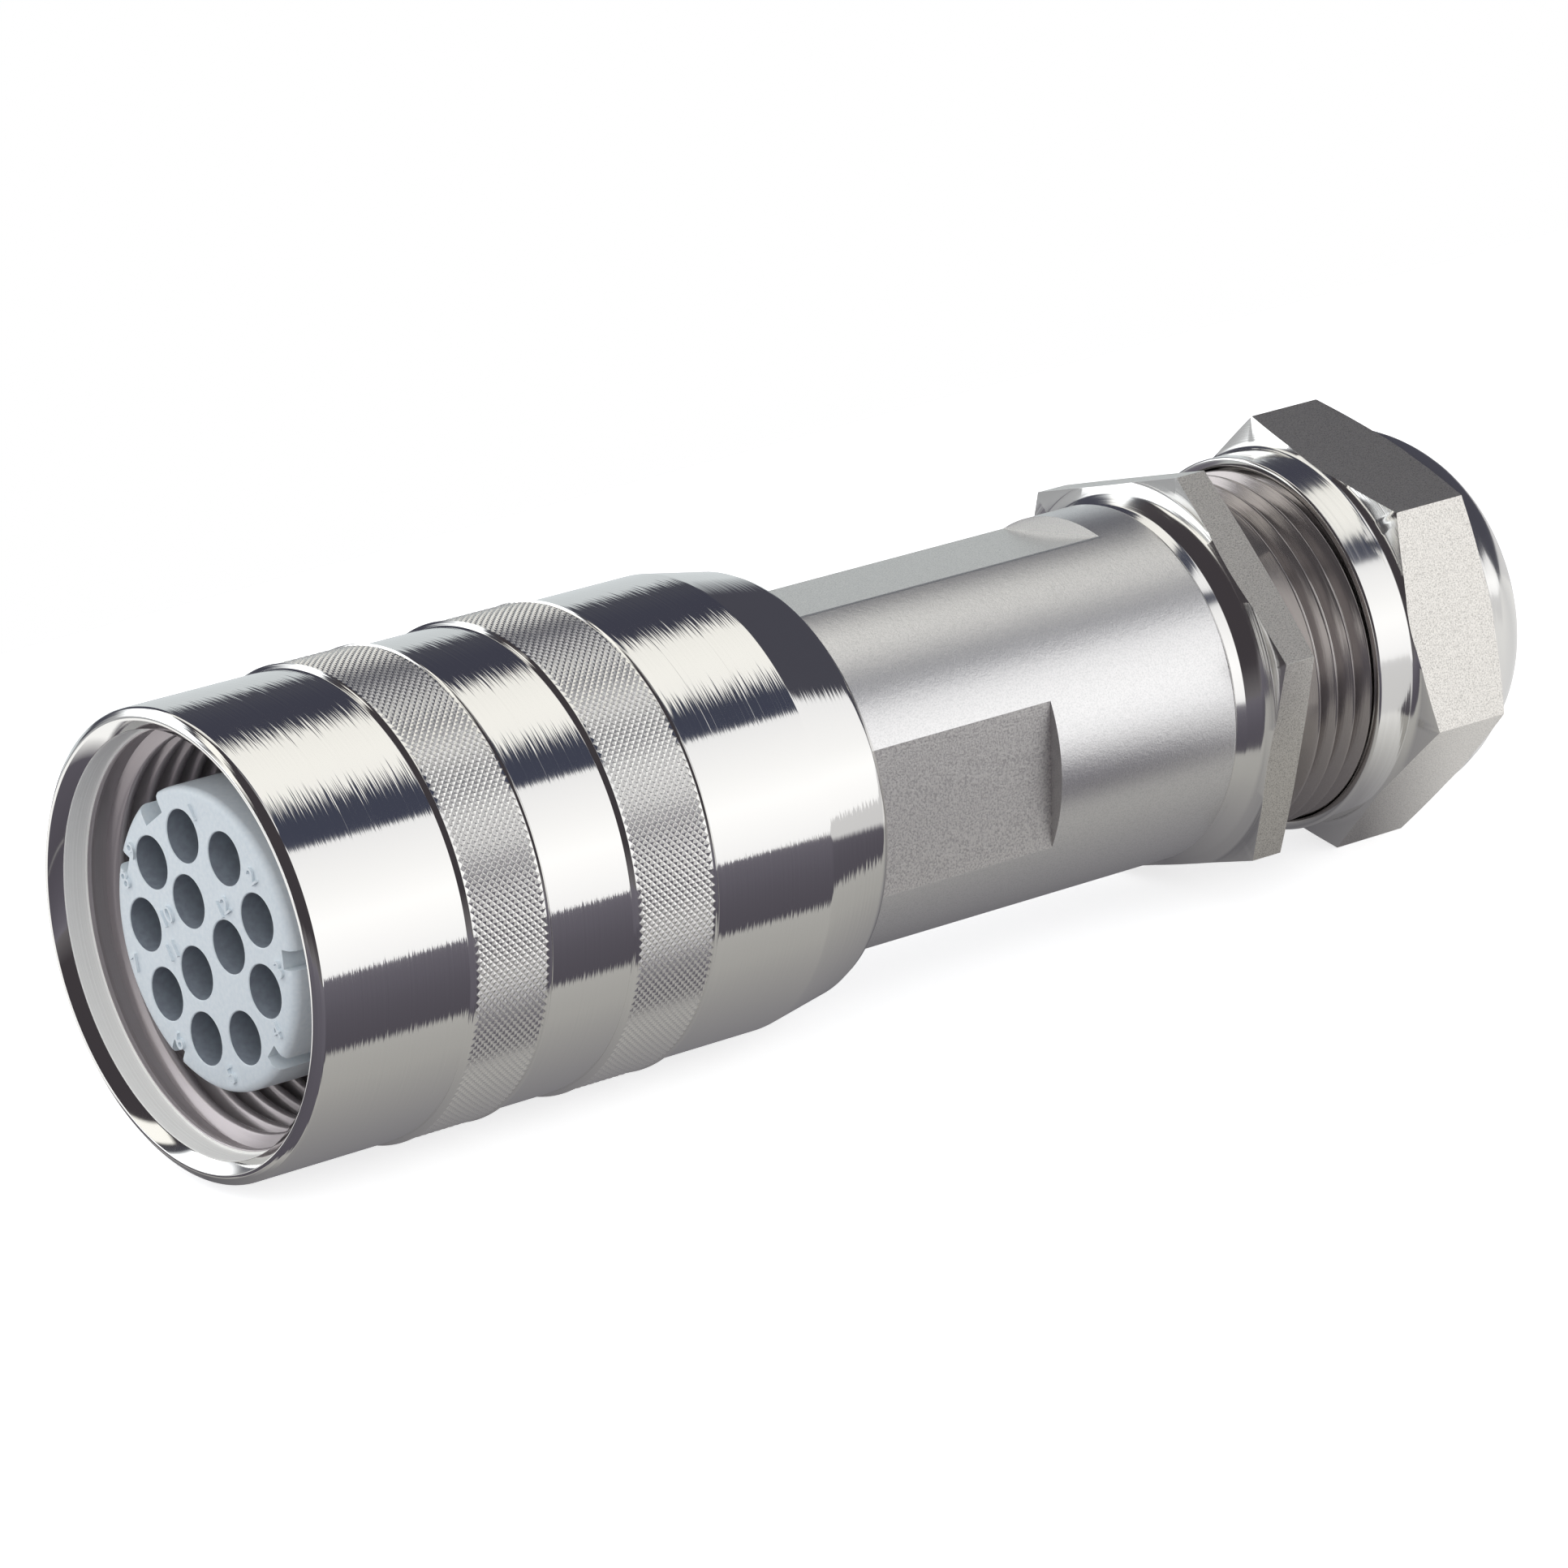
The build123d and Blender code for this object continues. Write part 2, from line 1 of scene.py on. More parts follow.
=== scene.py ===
# %% [markdown]
# # A twelve-way coupling socket
#
# The object is a round metal connector for a control cable. A polished
# coupling ring with two knurled bands screws on to its mate, a blasted barrel
# carries the light grey contact insert, and a brass cable gland with two
# hexagons closes the rear. Nearly every surface was turned on a lathe, so
# nearly every mesh here starts as an outline that is spun about one axis.
#
# The imported CAD model is the frame: it is in metres, its axis is X, and the
# rim of the coupling ring stands half a millimetre ahead of x = 0. The visual
# pieces have to stay inside it.

# %% Load the frame
from math import atan2, cos, degrees, radians, sin, tau

import bmesh
import bpy
from mathutils import Matrix, Vector


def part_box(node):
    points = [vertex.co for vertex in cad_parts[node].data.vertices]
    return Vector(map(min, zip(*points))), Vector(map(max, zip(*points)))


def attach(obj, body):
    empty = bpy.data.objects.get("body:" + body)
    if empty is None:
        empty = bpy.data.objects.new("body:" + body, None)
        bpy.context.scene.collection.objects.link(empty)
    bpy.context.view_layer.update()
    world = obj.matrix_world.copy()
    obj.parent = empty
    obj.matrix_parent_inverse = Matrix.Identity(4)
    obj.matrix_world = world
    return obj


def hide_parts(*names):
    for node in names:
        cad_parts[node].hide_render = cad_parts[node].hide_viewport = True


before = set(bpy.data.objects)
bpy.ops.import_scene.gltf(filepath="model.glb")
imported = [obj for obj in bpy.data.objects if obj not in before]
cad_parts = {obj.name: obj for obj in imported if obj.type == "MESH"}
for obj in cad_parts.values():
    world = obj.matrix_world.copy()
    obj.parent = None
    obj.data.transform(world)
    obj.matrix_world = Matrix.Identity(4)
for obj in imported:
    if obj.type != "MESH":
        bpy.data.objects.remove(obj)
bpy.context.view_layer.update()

print("nodes:", len(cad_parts))

# %% [markdown]
# ## Measures
#
# The drawing of a turned part is in millimetres, and Blender works in metres.
# Outlines below are written in millimetres and scaled once, when their
# vertices are made. 256 steps round the axis keep a 28 mm ring round at a
# third of a millimetre per facet, which mirror-bright metal needs.

# %% Measures
MM = 0.001
STEPS = 256  # facets round the axis
RING_R = 14.0  # coupling ring, between its grip bands
GRIP_R = 14.3  # coupling ring, over its grip bands
BARREL_R = 11.25
FLAT_DISTANCE = 10.25  # from the axis to a flat of the barrel
HEX_FLAT_R = 12.0  # from the axis to a flat of a hexagon
COUPLING_PITCH = 1.5
GLAND_PITCH = 1.41
STUDIO_LIGHT = 1.28  # strength of the tent, and of the floor that metal sees
ring_low, ring_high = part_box("coupling_ring")
print(f"coupling ring {1000 * (ring_high[0] - ring_low[0]):.2f} mm long, "
      f"{2000 * ring_high[2]:.2f} mm over the grips")


# %% [markdown]
# ## Spinning an outline
#
# A lathe part is a closed outline turned once about the axis. Each corner of
# the outline has its own rounding, because a real edge is never sharp and the
# light that it catches is what shows the shape. The corner is bevelled while
# it is still a point of the outline, which is simpler than finding the ring
# of edges on the finished solid. The spin merges its last row with its first,
# points on the axis are merged after it, and then the faces are turned
# outwards, because a spin can leave a shape inside out.

# %% Spinning
def spun(outline, steps=STEPS):
    """A mesh turned about X from corners of (x, radius, rounding) in mm."""
    bm = bmesh.new()
    corners = [bm.verts.new((x * MM, 0, r * MM)) for x, r, _ in outline]
    for a, b in zip(corners, corners[1:] + corners[:1]):
        bm.edges.new((a, b))
    for corner, (_, _, rounding) in zip(corners, outline):
        if rounding:
            bmesh.ops.bevel(
                bm, geom=[corner], offset=rounding * MM, segments=3,
                profile=0.5, affect="VERTICES", material=-1,
            )
    bmesh.ops.spin(
        bm, geom=bm.verts[:] + bm.edges[:], axis=(1, 0, 0), angle=tau,
        steps=steps, use_merge=True,
    )
    bmesh.ops.remove_doubles(bm, verts=bm.verts[:], dist=1e-7)
    bmesh.ops.recalc_face_normals(bm, faces=bm.faces[:])
    return bm


def about_axis(x, r, angle):
    """A point in metres, its angle clockwise from the top seen from the rim."""
    return Vector((x, -r * sin(radians(angle)), r * cos(radians(angle)))) * MM


# %% [markdown]
# ## From mesh to piece
#
# Each piece becomes one object at the origin, with its place in its mesh. It
# rides on a body of the frame, so that it moves with the joints, and where a
# CAD node has the same form, the piece stands in for it. Long thin quads and
# large flat faces share vertices here, so a Weighted Normal modifier lets the
# large faces decide the shading, and edges sharper than 35 degrees stay sharp.

# %% Making a piece
def piece(name, bm, materials, body, node=None, sharp=35):
    """An object made of a mesh, riding on a body of the frame."""
    mesh = bpy.data.meshes.new(name)
    for face in bm.faces:
        face.smooth = True
    bm.to_mesh(mesh)
    bm.free()
    mesh.set_sharp_from_angle(angle=radians(sharp))
    for material in materials:
        mesh.materials.append(material)
    obj = bpy.data.objects.new(name, mesh)
    bpy.context.scene.collection.objects.link(obj)
    weigh = obj.modifiers.new("weighted normals", "WEIGHTED_NORMAL")
    weigh.keep_sharp = True
    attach(obj, body)
    if node:
        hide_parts(node)
    print(f"{name}: {len(mesh.polygons)} faces")


# %% [markdown]
# ## Colours
#
# Colours are written as the hex values of a paint chart, which are sRGB, and
# Blender's sockets want linear light, so one function turns them over.

# %% Colours
def colour(text):
    """Linear RGBA from an sRGB hex value."""
    parts = [int(text[i:i + 2], 16) / 255 for i in (0, 2, 4)]
    linear = [c / 12.92 if c <= 0.04045 else ((c + 0.055) / 1.055) ** 2.4 for c in parts]
    return linear + [1]


# %% [markdown]
# ## Nodes
#
# A small function adds any node with its settings and links, so that a
# material reads as a list of what it is made of. The three kinds of node that
# come back most often, a sum, a fade and a mix of two colours, each get a
# short name of their own.

# %% Nodes
def add(tree, kind, inputs=None, **settings):
    """Adds a node; an input takes a value, or a socket to link from."""
    node = tree.nodes.new("ShaderNode" + kind)
    for name, value in settings.items():
        setattr(node, name, value)
    for name, value in (inputs or {}).items():
        if isinstance(value, bpy.types.NodeSocket):
            tree.links.new(value, node.inputs[name])
        else:
            node.inputs[name].default_value = value
    return node


def calc(tree, operation, *values):
    """The result of a Math node."""
    return add(tree, "Math", dict(enumerate(values)), operation=operation).outputs[0]


def fade(tree, value, start, end, at_start=0.0, at_end=1.0, **settings):
    """Runs from at_start to at_end while the value runs from start to end."""
    limits = {
        "Value": value, "From Min": start, "From Max": end,
        "To Min": at_start, "To Max": at_end,
    }
    return add(tree, "MapRange", limits, **settings).outputs[0]


MIX_A, MIX_B, MIXED = 6, 7, 2  # the colour sockets of a Mix node


def mix(tree, share, first, second, **settings):
    """The first colour where the share is 0, the second where it is 1."""
    colours = {0: share, MIX_A: first, MIX_B: second}
    return add(tree, "Mix", colours, data_type="RGBA", **settings).outputs[MIXED]


# %% [markdown]
# ## Materials
#
# Every material starts alike, with a name, a few fixed values, and coordinates
# that belong to the object and move with it. A colour ramp gets all its stops
# as one list.

# %% Ramps and materials
def set_stops(ramp, stops):
    """Gives a colour ramp its (place, hex colour) stops."""
    while len(ramp.elements) > 1:
        ramp.elements.remove(ramp.elements[-1])
    ramp.elements[0].position, ramp.elements[0].color = stops[0][0], colour(stops[0][1])
    for place, text in stops[1:]:
        ramp.elements.new(place).color = colour(text)


def finish(name, **values):
    """A new material: its node tree, its shader and its object coordinates."""
    material = bpy.data.materials.new(name)
    material.use_nodes = True
    tree = material.node_tree
    shader = tree.nodes["Principled BSDF"]
    for key, value in values.items():
        shader.inputs[key.replace("_", " ")].default_value = value
    coords = add(tree, "TexCoord").outputs["Object"]
    return material, tree, shader, coords


# %% [markdown]
# ## Turning marks
#
# A lathe tool leaves fine grooves round the axis. They tilt the surface to
# and fro along the axis only, and in a mirror finish that pulls the edges of
# the reflections out into spikes. The pattern is a noise of one dimension. It
# runs along x on a cylinder and along the radius on a face, so the sum of the
# two is right on both, and on cones as well. Real grooves are 0.05 mm apart;
# they are drawn about 0.25 mm apart, the finest that the picture can show.

# %% Turning marks
def turned_height(tree, coords, spacing):
    """A height that changes only along the outline of a turned part."""
    parts = add(tree, "SeparateXYZ", {0: coords})
    across = add(tree, "VectorMath", {0: coords, 1: (0, 1, 1)}, operation="MULTIPLY")
    radius = add(tree, "VectorMath", {0: across.outputs[0]}, operation="LENGTH")
    along = calc(tree, "ADD", parts.outputs["X"], radius.outputs["Value"])
    noise = add(
        tree, "TexNoise",
        {"W": along, "Scale": 1 / (spacing * MM), "Detail": 2.0, "Roughness": 0.6},
        noise_dimensions="1D",
    )
    return noise.outputs["Fac"]


def dent(tree, shader, height, depth, strength=1.0):
    """Tilts the surface as a height does that is so many mm deep."""
    bump = add(tree, "Bump", {"Height": height, "Strength": strength, "Distance": depth * MM})
    tree.links.new(bump.outputs[0], shader.inputs["Normal"])


def turned_metal(name, tint, roughness, spacing, depth, metallic=1.0):
    """A metal with turning marks, their spacing and depth in mm."""
    material, tree, shader, coords = finish(
        name, Metallic=metallic, Base_Color=colour(tint), Roughness=roughness,
    )
    dent(tree, shader, turned_height(tree, coords, spacing), depth)
    return material


# %% [markdown]
# ## Polished nickel
#
# The coupling ring is turned brass, polished and nickel plated. Nickel is a
# slightly warm, slightly dark mirror: about 80 % of the light comes back. Its
# roughness is low and the turning marks do the rest. A faint second noise
# makes the plating a little uneven, as a polishing wheel leaves it. The gland
# and its nut are turned finer and never see the wheel, so they have a softer
# nickel of their own.

# %% Polished nickel
NICKEL = "E9E8E5"

polished_nickel, tree, shader, coords = finish(
    "polished nickel plate on turned brass",
    Metallic=1.0, Base_Color=colour(NICKEL), Roughness=0.06,
)
cloud = add(tree, "TexNoise", {"Vector": coords, "Scale": 400.0, "Detail": 2.0})
uneven = fade(tree, cloud.outputs["Fac"], 0.0, 1.0, 0.04, 0.09)
tree.links.new(uneven, shader.inputs["Roughness"])
dent(tree, shader, turned_height(tree, coords, 0.25), 0.012)

plated_nickel = turned_metal("nickel plate on fine turned brass", NICKEL, 0.13, 0.4, 0.006)
print("made", polished_nickel.name, "and", plated_nickel.name)

# %% [markdown]
# ## Blasted nickel
#
# The barrel was bead blasted before plating. The beads leave dimples about a
# tenth of a millimetre wide that blur every reflection and make it grainy
# where it changes from light to dark. Two sizes of noise give the dimples,
# and the finer of the two darkens the deepest of them a little. The flats
# are made the same way, with coarser grain where a mill cut them and finer
# grain where the drawn bar shows.

# %% Blasted nickel
def blasted(name, grain, depth, roughness, dark, light, pits=(0.36, 0.56)):
    """A dimpled nickel, its grain and depth in mm."""
    material, tree, shader, coords = finish(name, Metallic=1.0, Roughness=roughness)
    fine = add(
        tree, "TexNoise",
        {"Vector": coords, "Scale": 1 / (grain * MM), "Detail": 3.0, "Roughness": 0.65},
    )
    coarse = add(
        tree, "TexNoise", {"Vector": coords, "Scale": 0.25 / (grain * MM), "Detail": 2.0},
    )
    tone = add(tree, "ValToRGB", {"Fac": fine.outputs["Fac"]})
    set_stops(tone.color_ramp, list(zip(pits, (dark, light))))
    tree.links.new(tone.outputs["Color"], shader.inputs["Base Color"])
    dent(tree, shader, calc(tree, "ADD", fine.outputs["Fac"], coarse.outputs["Fac"]), depth)
    return material


blasted_nickel = blasted("bead-blasted nickel plate", 0.1, 0.008, 0.31, "DCDCDB", "EDECEB")
milled_flat = blasted(
    "nickel plate over a rough milled flat", 0.14, 0.016, 0.5, "C4C1C0", "EAE8E4",
)
bar_flat = blasted(
    "nickel plate over drawn hexagon bar", 0.08, 0.006, 0.28, "A9A6A1", "E4E1DB", (0.32, 0.56),
)
print("made", blasted_nickel.name, "and one for each kind of flat")

# %% [markdown]
# ## Knurled, threaded and plain turned nickel
#
# Knurling is pressed in and tumbled smooth, so the little pyramids are bright
# but not mirrors. Threads are cut and plated without polishing; their nickel is
# darker and browner than the plain plate, which is painted shade in the
# grooves. Down in the ring's mouth they lie in a brown half-dark, because metal
# there mirrors only more metal, and each bounce off nickel takes a little more
# blue away; that half-dark is painted in as a darker, half metallic copy of the
# nickel. The plain bore right behind the rim is satin: it shows no mirror image
# at all, only an even pale grey, and that pale grey is a painted sheen, a
# near-white copy of the nickel that is not metallic and takes the matte light.

# %% Knurled and threaded nickel
knurled_nickel, tree, shader, coords = finish(
    "tumbled nickel plate on knurling",
    Metallic=1.0, Base_Color=colour("F0EFEC"), Roughness=0.26,
)
grit = add(tree, "TexNoise", {"Vector": coords, "Scale": 9000.0, "Detail": 2.0})
dent(tree, shader, grit.outputs["Fac"], 0.006)

# Darker, browner nickel on threads: painted shade in the grooves.
shaded_thread_nickel = turned_metal(
    "nickel plate on a cut thread, darkened as painted shade", "ABA5A3", 0.2, 0.12, 0.006, metallic=0.88,
)
# Darker, half metallic nickel for the mouth: painted shade of its half-dark.
shaded_mouth_nickel = turned_metal(
    "nickel plate in the mouth, darkened as painted shade", "BBB3B4", 0.24, 0.12, 0.006, metallic=0.5,
)
# A near-white copy of the nickel that is not metallic: a painted pale sheen on the lip bore.
sheen_painted_nickel = turned_metal(
    "near-white nickel copy in the lip bore, a painted sheen", "F6F4F0", 0.4, 0.15, 0.01, metallic=0.0,
)
made = knurled_nickel, shaded_thread_nickel, shaded_mouth_nickel, sheen_painted_nickel
print("made", ", ".join(material.name for material in made))

# %% [markdown]
# ## Coupling ring
#
# The ring is one turned part. Its rim is a thin land between two bevels, a
# broad one outside and a long one that leads into the plain lip bore. The
# bore steps down to the thread, and the tail narrows in a long cone with a
# rounded end. The two grip bands stand proud with a small chamfer at each
# side. Here the ring is cut down under the bands, so that the knurling can be
# laid on as pieces of its own.

# %% Coupling ring
GRIPS = ((9.9, 15.7), (21.4, 27.6))
GRIP_BASE_R = 14.14  # the ring under the knurling
GRIP_EDGE_R = GRIP_R - 0.02
outline = [(-0.5, 13.3, 0.05), (-0.5, 13.5, 0.05), (-0.1, RING_R, 0.15)]
for start, end in GRIPS:
    outline += [
        (start, RING_R, 0.03), (start + 0.25, GRIP_EDGE_R, 0.03),
        (start + 0.35, GRIP_BASE_R, 0), (end - 0.35, GRIP_BASE_R, 0),
        (end - 0.25, GRIP_EDGE_R, 0.03), (end, RING_R, 0.03),
    ]
outline += [
    (36.0, RING_R, 0.1), (41.4, 13.0, 1.1), (41.4, 11.31, 0.15), (38.2, 11.31, 0),
    (37.31, 12.2, 0), (18.0, 12.2, 0), (18.0, 10.66, 0.1), (15.0, 10.66, 0.1),
    (15.0, 11.7, 0), (12.3, 11.7, 0.05), (12.3, 12.6, 0), (2.3, 12.55, 0),
    (1.9, 12.3, 0.05), (1.7, 12.4, 0.05), (1.7, 12.6, 0.05), (0.2, 12.6, 0.1),
]
bm = spun(outline)
# Faces of the lip bore get the painted pale sheen, and faces of the mouth behind it the darker
# nickel, which is painted shade.
LIP_START, LIP_END, MOUTH_END, BORE_R = 0.2, 1.7, 15, 12.7
for face in bm.faces:
    place = face.calc_center_median() / MM
    if LIP_START < place.x < LIP_END and place.yz.length < BORE_R:
        face.material_index = 1
    elif LIP_END < place.x < MOUTH_END and place.yz.length < BORE_R:
        face.material_index = 2
piece(
    "coupling_ring_body", bm, [polished_nickel, sheen_painted_nickel, shaded_mouth_nickel],
    "coupling_ring", "coupling_ring",
)


# %% [markdown]
# ## Threads
#
# A thread is a ridge wound round the axis. Its section is a small trapezium
# with a rounded crest, which is spun many turns while it also moves along the
# axis, and that is what the spin operator's dvec does. The foot of the ridge
# is sunk a little into the part that carries it, and both ends are closed.

# %% Winding a thread
THREAD_STEPS = 128  # facets in each turn of a thread


def wound(section, pitch, turns):
    """A closed section of (x, radius) in mm, wound about X."""
    bm = bmesh.new()
    corners = [bm.verts.new((x * MM, 0, r * MM)) for x, r in section]
    edges = [bm.edges.new(pair) for pair in zip(corners, corners[1:] + corners[:1])]
    bmesh.ops.spin(
        bm, geom=corners + edges, axis=(1, 0, 0), dvec=(pitch * MM / THREAD_STEPS, 0, 0),
        angle=tau * turns, steps=round(THREAD_STEPS * turns),
    )
    bmesh.ops.holes_fill(bm, edges=[e for e in bm.edges if e.is_boundary], sides=0)
    bmesh.ops.recalc_face_normals(bm, faces=bm.faces[:])
    return bm


# %% [markdown]
# ## Coupling thread
#
# This thread is cut in the ring's mouth, so its ridge points inwards. It is
# 25 mm with a pitch of 1.5 mm, and it rides on the ring, because on the real
# object it is the same piece of brass.

# %% Coupling thread
inner_ridge = [
    (0, 12.6), (1.25, 12.6), (0.92, 11.85), (0.82, 11.76),
    (0.65, 11.72), (0.48, 11.76), (0.38, 11.85),
]
section = [(1.9 + x, r) for x, r in inner_ridge]
# The coupling thread gets the darker mouth nickel, which is painted shade.
piece(
    "coupling_thread", wound(section, COUPLING_PITCH, 5.85), [shaded_mouth_nickel],
    "coupling_ring", sharp=50,
)


# %% [markdown]
# ## Knurling
#
# A diamond knurl is two sets of diagonal grooves, and what they leave is rows
# of small pyramids. A straight line of points is spun into a grid of squares.
# Each square is poked, which puts a point at its middle, and once the old
# grid lines are dissolved the triangles pair up into diamonds. Poking the
# diamonds with an offset raises the pyramids. On the real ring the grooves
# are about a third of a millimetre apart, and so they are here.

# %% Knurled bands
KNURL_STEPS = 180  # pyramids round the ring
KNURL_HEIGHT = 0.085


def knurled(start, end, rows):
    """A band of pyramids from start to end along X, in mm."""
    bm = bmesh.new()
    width = (end - start) / rows
    points = [
        bm.verts.new(((start + k * width) * MM, 0, GRIP_BASE_R * MM)) for k in range(rows + 1)
    ]
    line = [bm.edges.new(pair) for pair in zip(points, points[1:])]
    bmesh.ops.spin(
        bm, geom=points + line, axis=(1, 0, 0), angle=tau, steps=KNURL_STEPS, use_merge=True,
    )
    bmesh.ops.recalc_face_normals(bm, faces=bm.faces[:])
    grid = [edge for edge in bm.edges if not edge.is_boundary]
    bmesh.ops.poke(bm, faces=bm.faces[:], offset=0, center_mode="MEAN")
    bmesh.ops.dissolve_edges(bm, edges=grid, use_verts=False)
    diamonds = [face for face in bm.faces if len(face.verts) == 4]
    bmesh.ops.poke(bm, faces=diamonds, offset=KNURL_HEIGHT * MM, center_mode="MEAN")
    outer = max(v.co.yz.length for v in bm.verts)
    print(f"knurl stands to a radius of {outer / MM:.2f} mm")
    return bm


piece(
    "front_knurl", knurled(10.25, 15.35, 11), [knurled_nickel],
    "coupling_ring", sharp=10,
)
piece(
    "rear_knurl", knurled(21.75, 27.25, 12), [knurled_nickel],
    "coupling_ring", sharp=10,
)


# %% [markdown]
# ## Cutting
#
# Flats, keyways and holes are milled or moulded into a turned form. The
# cutter is a mesh of its own, a Boolean modifier takes it away, and the
# result is kept as a plain mesh so that the cutter can go.

# %% Cutting helpers
def block(x0, x1, width, r0, r1, angle):
    """A box from radius r0 to r1 at an angle about the axis, in mm."""
    bm = bmesh.new()
    bmesh.ops.create_cube(bm, size=MM)
    bmesh.ops.scale(bm, vec=(x1 - x0, width, r1 - r0), verts=bm.verts[:])
    middle = Vector(((x0 + x1) / 2, 0, (r0 + r1) / 2)) * MM
    bmesh.ops.translate(bm, vec=middle, verts=bm.verts[:])
    turn = Matrix.Rotation(radians(angle), 3, "X")
    bmesh.ops.rotate(bm, cent=(0, 0, 0), matrix=turn, verts=bm.verts[:])
    return bm


def joined(meshes):
    """Several small meshes as one."""
    whole = bmesh.new()
    for bm in meshes:
        data = bpy.data.meshes.new("part")
        bm.to_mesh(data)
        bm.free()
        whole.from_mesh(data)
        bpy.data.meshes.remove(data)
    return whole


def carved(bm, cutters):
    """The mesh with the cutters taken out of it."""
    collection = bpy.context.scene.collection
    objects = []
    for name, source in (("blank", bm), ("cutter", joined(cutters))):
        data = bpy.data.meshes.new(name)
        source.to_mesh(data)
        source.free()
        objects.append(bpy.data.objects.new(name, data))
        collection.objects.link(objects[-1])
    blank, cutter = objects
    cut = blank.modifiers.new("cut", "BOOLEAN")
    cut.object, cut.operation, cut.solver = cutter, "DIFFERENCE", "EXACT"
    result = bmesh.new()
    result.from_object(blank, bpy.context.evaluated_depsgraph_get())
    for obj in objects:
        bpy.data.objects.remove(obj)
    return result


# %% [markdown]
# ## Barrel
#
# A plain tube with small chamfers. Two wrench flats lie opposite each other
# just behind the ring, and one longer flat runs along the top. The flats look
# different from the round, so they get materials of their own, picked by how
# far a face lies from the axis and by which way it looks.

# %% Barrel
outline = [
    (20.25, 10.6, 0), (20.25, 10.95, 0), (20.55, BARREL_R, 0.05), (41.9, BARREL_R, 0),
    (55.7, BARREL_R, 0), (65.9, BARREL_R, 0), (69.4, BARREL_R, 0.12),
    (69.7, 10.95, 0.08), (69.7, 10.2, 0), (68.2, 10.2, 0), (68.2, 9.05, 0), (59.5, 9.05, 0),
    (59.5, 8.6, 0), (42.0, 8.6, 0), (42.0, 9.6, 0), (29.95, 9.6, 0), (29.95, 10.15, 0),
    (21.65, 10.15, 0), (21.65, 10.6, 0),
]
FLATS_START = 42.0
flats = [
    block(FLATS_START, end, 20, FLAT_DISTANCE, 13, angle)
    for end, angle in ((55.6, 92), (55.6, 272), (65.8, -8.5))
]
bm = carved(spun(outline), flats)
for face in bm.faces:
    place = face.calc_center_median()
    distance = place @ face.normal
    is_flat = abs(face.normal.x) < 0.01 and abs(distance - FLAT_DISTANCE * MM) < 1e-6
    if is_flat and place.x > FLATS_START * MM:
        looks_up = face.normal.z > 0.9
        face.material_index = 2 if looks_up else 1
piece(
    "barrel_tube", bm, [blasted_nickel, milled_flat, bar_flat],
    "housing", "barrel",
)


# %% [markdown]
# ## Hexagons
#
# A hexagon nut is turned first and gets its six flats after, or is turned
# from hexagon bar. Both leave the same shape, so the blank is spun with its
# corners' bevels and then sawn with six planes. Each cut is filled to a flat
# face, and the edges of the flats are broken by a tenth of a millimetre.

# %% Sawing a hexagon
SMALLEST_FLAT = 4  # square millimetres
EDGE_BREAK = 0.1


def hexagonal(bm, corner_angle):
    """Saws six flats on to a turned blank, one corner at an angle."""
    distance = HEX_FLAT_R * MM
    for k in range(6):
        outward = about_axis(0, 1, corner_angle + 30 + 60 * k).normalized()
        cut = bmesh.ops.bisect_plane(
            bm, geom=bm.verts[:] + bm.edges[:] + bm.faces[:], dist=1e-8,
            plane_co=outward * distance, plane_no=outward, clear_outer=True,
        )
        rim = [part for part in cut["geom_cut"] if isinstance(part, bmesh.types.BMEdge)]
        bmesh.ops.edgeloop_fill(bm, edges=rim)
    bm.normal_update()
    flats = [
        face for face in bm.faces
        if abs(face.normal.x) < 0.001
        and abs(face.calc_center_median() @ face.normal - distance) < 1e-6
        and face.calc_area() > SMALLEST_FLAT * MM * MM
    ]
    broken = [
        edge for edge in bm.edges
        if edge.calc_face_angle(0) > radians(20)
        and any(face in flats for face in edge.link_faces)
    ]
    for face in flats:
        face.material_index = 1
    bmesh.ops.bevel(
        bm, geom=broken, offset=EDGE_BREAK * MM, segments=2, profile=0.5,
        affect="EDGES", material=0, clamp_overlap=True,
    )
    print(f"{len(flats)} flats, {len(broken)} edges broken")
    return bm


# %% [markdown]
# ## Gland body
#
# The front half of the gland. Its stem is hidden in the barrel, a polished
# neck flares up to a thin hexagon, and behind it comes the thread for the
# dome nut. Its own part of the outline has the thread's root; the crests are
# wound on as a ridge, which is a little finer than the coupling thread's.

# %% Gland body
outline = [
    (60.5, 7.0, 0), (60.5, 8.4, 0), (61.1, 9.0, 0), (69.7, 9.0, 0), (69.7, 10.75, 0),
    (70.5, 10.95, 0.06), (71.3, 11.6, 0.15), (71.65, 12.3, 0.1),
    (71.65, 14.2, 0), (73.86, 14.2, 0), (74.1, 12.2, 0.05),
    (74.1, 10.35, 0.25), (86.4, 10.35, 0), (87.0, 9.9, 0), (87.0, 9.25, 0),
    (80.3, 9.25, 0), (79.0, 7.0, 0),
]
piece(
    "gland_body_turned", hexagonal(spun(outline), 15), [plated_nickel, bar_flat],
    "housing", "gland_body",
)
outer_ridge = [
    (0, 10.3), (1.36, 10.3), (0.78, 11.12), (0.71, 11.18), (0.65, 11.18), (0.58, 11.12),
]
section = [(75.2 + x, r) for x, r in outer_ridge]
# The ridge gets the darker thread nickel, which is painted shade in the grooves.
piece(
    "gland_thread", wound(section, GLAND_PITCH, 7.4), [shaded_thread_nickel],
    "housing", sharp=50,
)

# %% [markdown]
# ## Dome nut
#
# A round skirt, a hexagon that the skirt meets in a small hollow curve, and a
# domed end with the hole for the cable. The dome is a free curve, so its
# outline has a few points of its own along an arc.

